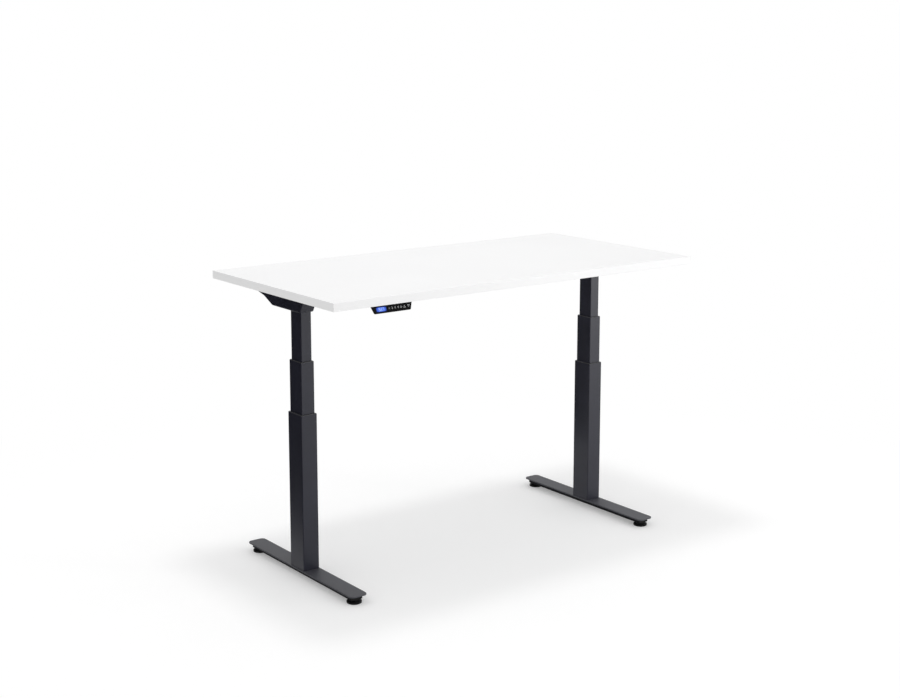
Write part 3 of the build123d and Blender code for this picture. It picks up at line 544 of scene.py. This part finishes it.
def numberMark(number, look):
    startPiece()
    bpy.ops.object.text_add()
    words = bpy.context.object
    words.data.body = number
    words.data.size = look["tall"] / look["tallShare"]
    words.data.align_x = "CENTER"
    words.data.align_y = "CENTER"
    words.data.resolution_u = look["curveSteps"]
    bpy.ops.object.convert(target="MESH")
    bpy.ops.object.mode_set(mode="EDIT")
    bpy.ops.mesh.select_all(action="SELECT")
    bpy.ops.mesh.remove_doubles(threshold=weldGap)
    raiseFlat(look["thick"])
    bpy.ops.object.mode_set(mode="OBJECT")
    return bpy.context.object


def settle(piece, name, place, body, finish):
    # puts a finished piece in its place, with the place in its mesh
    piece.name = name
    piece.data.name = name
    startPiece()
    piece.select_set(True)
    bpy.context.view_layer.objects.active = piece
    piece.matrix_world = place
    bpy.ops.object.transform_apply(location=True, rotation=True, scale=True)
    piece.data.materials.clear()
    piece.data.materials.append(finishes[finish])
    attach(piece, body)


def onFace(node, sink):
    return faceFrame(topOf(node)) @ Matrix.Translation((0, 0, -sink))


keyMarks = {f"key_{n}": numberMark(str(n), markLook) for n in (1, 2, 3, 4)}
keyMarks["key_memory"] = ringMark(markLook)
keyMarks["key_up"] = arrowMark(markLook)
keyMarks["key_down"] = copyPiece(keyMarks["key_up"])
for key, mark in keyMarks.items():
    turn = Matrix.Rotation(math.pi if key == "key_down" else 0, 4, "Z")
    place = onFace(key, markLook["sink"]) @ turn
    settle(mark, key.replace("key", "mark"), place, key, "printedMark")
print("marks are on the keys")

digitLook = {
    "lit": ("abcdfg", "abdeg", "abc"),  # 9, 2 and 7, the desktop's height with a point after the 2
    "long": 3.6 * mm, "wide": 0.9 * mm, "corner": 0.378 * mm, "gap": 0.25 * mm,
    "pitch": 6.6 * mm, "thick": 0.05 * mm, "sink": 0.01 * mm,
    "tones": ((0.45, 0.62, 1.0), (0.62, 0.78, 1.0)), "glow": 1.0,
    "base": (0.02, 0.03, 0.06), "rough": 0.3, "grain": 900, "cloud": 300,
}


def lightBar(look):
    # one bar of a digit, with its corners cut
    startPiece()
    bpy.ops.mesh.primitive_plane_add(size=1)
    bar = bpy.context.object
    bar.scale = (look["long"], look["wide"], 1)
    bpy.ops.object.transform_apply(location=False, rotation=False, scale=True)
    bpy.ops.object.mode_set(mode="EDIT")
    bpy.ops.mesh.select_all(action="SELECT")
    bpy.ops.mesh.bevel(affect="VERTICES", offset=look["corner"], segments=1)
    raiseFlat(look["thick"])
    bpy.ops.object.mode_set(mode="OBJECT")
    return bar


def makeGlow(look):
    material = bpy.data.materials.new("litDigits")
    material.use_nodes = True
    tree = material.node_tree
    shader = tree.nodes["Principled BSDF"]
    grain = addGrain(tree, look)
    tone = mixTones(tree, look["tones"], grain.outputs["Cloud"])
    tree.links.new(tone, shader.inputs["Emission Color"])
    shader.inputs["Emission Strength"].default_value = look["glow"]
    shader.inputs["Base Color"].default_value = (*look["base"], 1)
    shader.inputs["Roughness"].default_value = look["rough"]
    return material


def barPlaces(look):
    # where the lit bars of each digit go, and the point
    upright = math.radians(90)
    side = look["long"] / 2 + look["gap"]
    tall = look["long"] + 2 * look["gap"]
    spots = {
        "a": (0, tall, 0), "g": (0, 0, 0), "d": (0, -tall, 0),
        "f": (-side, tall / 2, upright), "b": (side, tall / 2, upright),
        "e": (-side, -tall / 2, upright), "c": (side, -tall / 2, upright),
    }
    places = []
    for n, lit in enumerate(look["lit"]):
        middle = (n - 1) * look["pitch"]
        for letter in lit:
            x, y, turn = spots[letter]
            move = Matrix.Translation((middle + x, y, 0))
            places.append(move @ Matrix.Rotation(turn, 4, "Z"))
    shorten = Matrix.Diagonal((look["wide"] / look["long"], 1, 1, 1))
    places.append(Matrix.Translation((look["pitch"] / 2, -tall, 0)) @ shorten)
    return places


def makeDigits(look):
    bar = lightBar(look)
    copies = []
    for place in barPlaces(look):
        copies.append(copyPiece(bar))
        copies[-1].matrix_world = place
    bpy.data.objects.remove(bar)
    startPiece()
    for copy in copies:
        copy.select_set(True)
    bpy.context.view_layer.objects.active = copies[0]
    bpy.ops.object.transform_apply(location=True, rotation=True, scale=True)
    bpy.ops.object.join()
    return bpy.context.object


finishes["litDigits"] = makeGlow(digitLook)
windowPlace = onFace("handset_window", digitLook["sink"])
settle(makeDigits(digitLook), "display_digits", windowPlace, "top", "litDigits")
print("the display shows its number")
